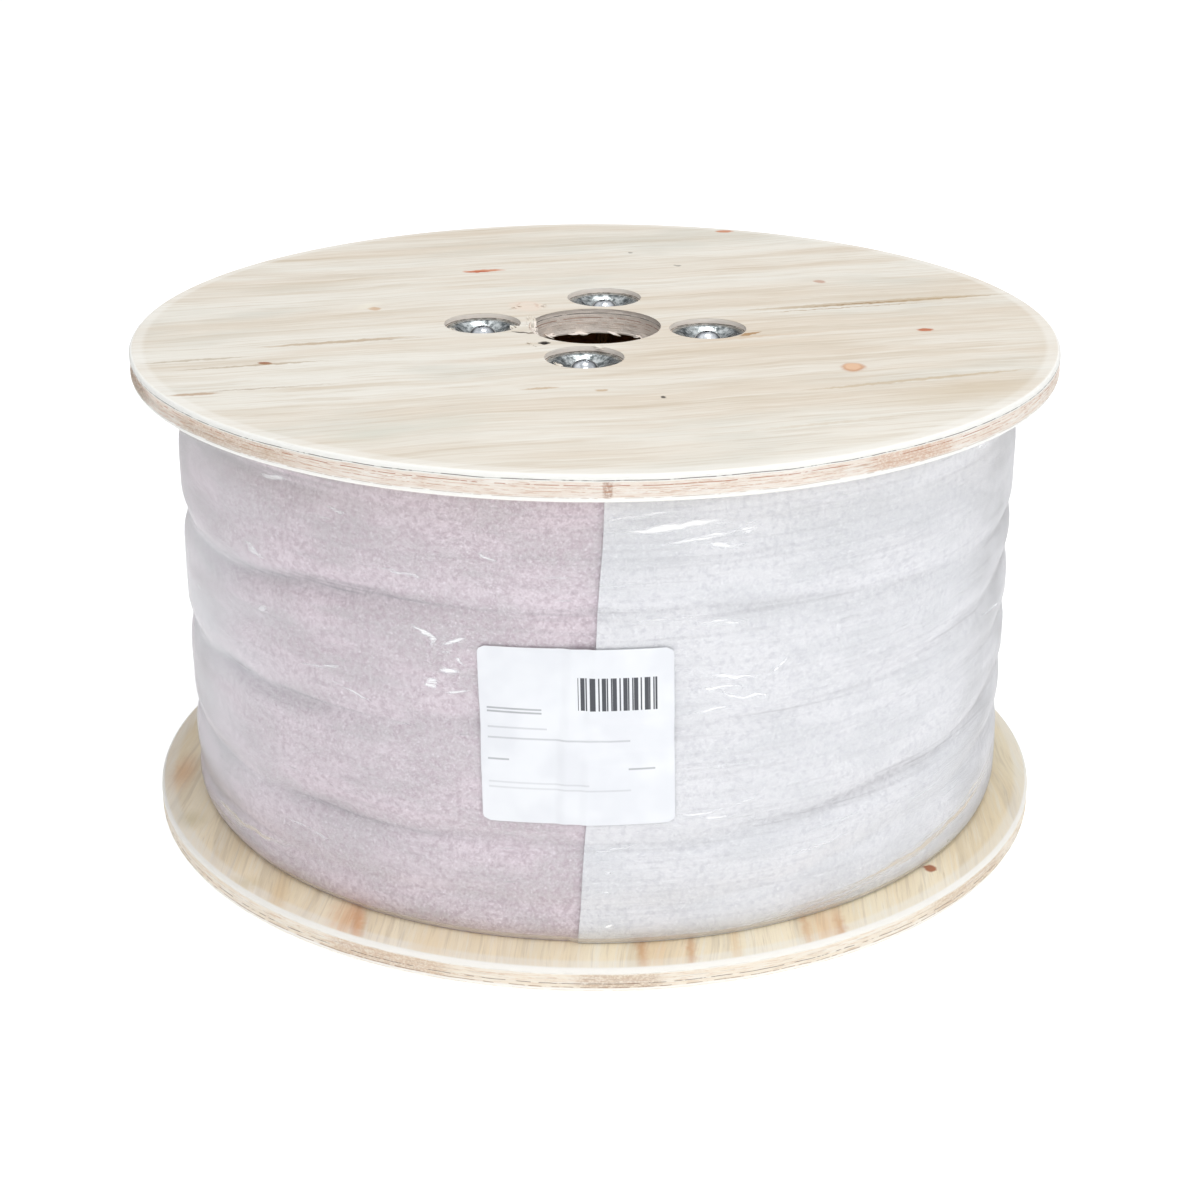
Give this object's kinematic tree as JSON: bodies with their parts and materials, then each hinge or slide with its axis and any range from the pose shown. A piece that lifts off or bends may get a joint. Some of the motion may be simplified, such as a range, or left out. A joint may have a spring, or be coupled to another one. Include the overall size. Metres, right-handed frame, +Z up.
{
  "type": "wooden cable drum",
  "caption": "Upright plywood cable drum with dished washers, tie bolts and an arbor bore, wound full of cable and packed in foam sheet, stretch film and a blank label.",
  "frame": {"origin": "on the drum's axis, on the level surface that the bottom flange stands on", "axes": "+Z up along the axis of the drum and its arbor bore; +X to the right and +Y to the back, as seen from the side with the label, which is the front"},
  "size_m": [0.4299, 0.43, 0.23],
  "materials": {
    "flange_plywood": "matt, unsealed plywood",
    "barrel_board": "matt brown board",
    "plated_steel": "bright zinc plate",
    "galvanised_sheet": "galvanised, pressed",
    "cable_jacket": "satin jacket",
    "foam_sheet": "fine-celled foam",
    "clear_film": "clear, glossy, wrinkled",
    "label_paper": "semi-gloss paper"
  },
  "bodies": {
    "root": {"flange_top": "flange_plywood", "flange_bottom": "flange_plywood", "barrel": "barrel_board", "tie_bolt_1": "plated_steel", "tie_bolt_2": "plated_steel", "tie_bolt_3": "plated_steel", "tie_bolt_4": "plated_steel", "sleeve_nut_1": "plated_steel", "sleeve_nut_2": "plated_steel", "sleeve_nut_3": "plated_steel", "sleeve_nut_4": "plated_steel", "washer_top_1": "galvanised_sheet", "washer_top_2": "galvanised_sheet", "washer_top_3": "galvanised_sheet", "washer_top_4": "galvanised_sheet", "washer_bottom_1": "galvanised_sheet", "washer_bottom_2": "galvanised_sheet", "washer_bottom_3": "galvanised_sheet", "washer_bottom_4": "galvanised_sheet", "cable_coil": "cable_jacket", "foam_wrap": "foam_sheet", "stretch_film": "clear_film", "label": "label_paper"}
  },
  "joints": []
}
